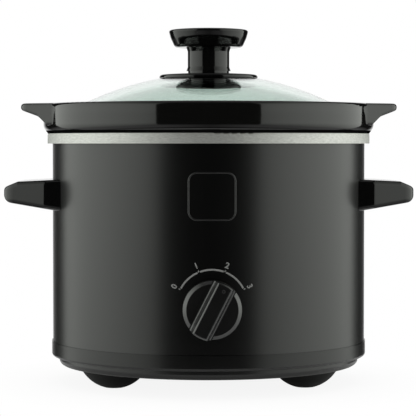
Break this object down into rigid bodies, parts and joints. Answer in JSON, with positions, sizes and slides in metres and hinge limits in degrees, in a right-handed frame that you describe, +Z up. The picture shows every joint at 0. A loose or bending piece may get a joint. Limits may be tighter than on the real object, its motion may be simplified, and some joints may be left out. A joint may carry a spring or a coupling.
{
  "type": "slow cooker",
  "caption": "Round countertop slow cooker: black drum heater base on rubber feet, lift-out glazed crock with ears, domed glass lid with a knob, side handles and a rotary heat dial.",
  "frame": {"origin": "on the pot's upright axis, on the plane that the feet stand on", "axes": "+Z up, -Y towards the dial at the front, +X towards the right handle seen from the front"},
  "size_m": [0.2592, 0.234, 0.2266],
  "materials": {
    "shell_black": "satin black enamel",
    "bare_metal": "brushed around the rim",
    "tray_black": "fine moulded texture",
    "foot_rubber": "smooth rubber",
    "handle_black": "gloss black phenolic",
    "retainer_black": "moulded, matte",
    "blackened_steel": "black oxide",
    "dial_black": "satin moulded",
    "glaze_black": "glazed black stoneware, opaque",
    "lid_clear": "clear tempered, faint green",
    "steel": "plated",
    "shield_sheet": "mill finish",
    "moulded_inner": "heat-proof moulding",
    "contact_brass": "stamped",
    "gland_black": "moulded",
    "lead_insulation": "glass-braid sleeve"
  },
  "bodies": {
    "base": {"outer_shell": "shell_black", "rear_panel": "shell_black", "heating_liner": "bare_metal", "base_tray": "tray_black", "foot_front_left": "foot_rubber", "foot_front_right": "foot_rubber", "foot_back": "foot_rubber", "handle_left": "handle_black", "handle_right": "handle_black", "handle_screws": "steel", "heater_band": "shield_sheet", "clamp_screw": "steel", "clamp_nut": "steel", "heat_shield": "shield_sheet", "tie_stud": "steel", "shield_nut": "steel", "tie_washer": "steel", "tie_nut": "steel", "thermal_fuse": "shield_sheet", "fuse_clip": "steel", "switch_housing": "moulded_inner", "switch_cover": "moulded_inner", "switch_terminals": "contact_brass", "switch_nut": "steel", "terminal_block": "moulded_inner", "terminal_screws": "steel", "cord_gland": "gland_black", "gland_nut": "gland_black", "lead_supply": "lead_insulation", "lead_switched": "lead_insulation", "lead_return": "lead_insulation", "lead_heater": "lead_insulation"},
    "dial": {"control_knob": "dial_black", "switch_shaft": "steel", "switch_rotor": "moulded_inner"},
    "crock": {"crock": "glaze_black"},
    "lid": {"lid_glass": "lid_clear", "lid_knob": "handle_black", "knob_skirt": "handle_black", "lid_gasket": "foot_rubber", "lid_retainer": "retainer_black", "lid_screw": "blackened_steel"}
  },
  "joints": [
    {"name": "dial_turn", "type": "hinge", "parent": "base", "child": "dial", "pos_m": [0, -0.1, 0.0545], "axis": [0, 1, 0], "range_deg": [-91.8, 38.2]},
    {"name": "crock_lift", "type": "slide", "parent": "base", "child": "crock", "axis": [0, 0, 1], "range_m": [0, 0.12]},
    {"name": "lid_lift", "type": "slide", "parent": "crock", "child": "lid", "axis": [0, 0, 1], "range_m": [0, 0.08]}
  ]
}
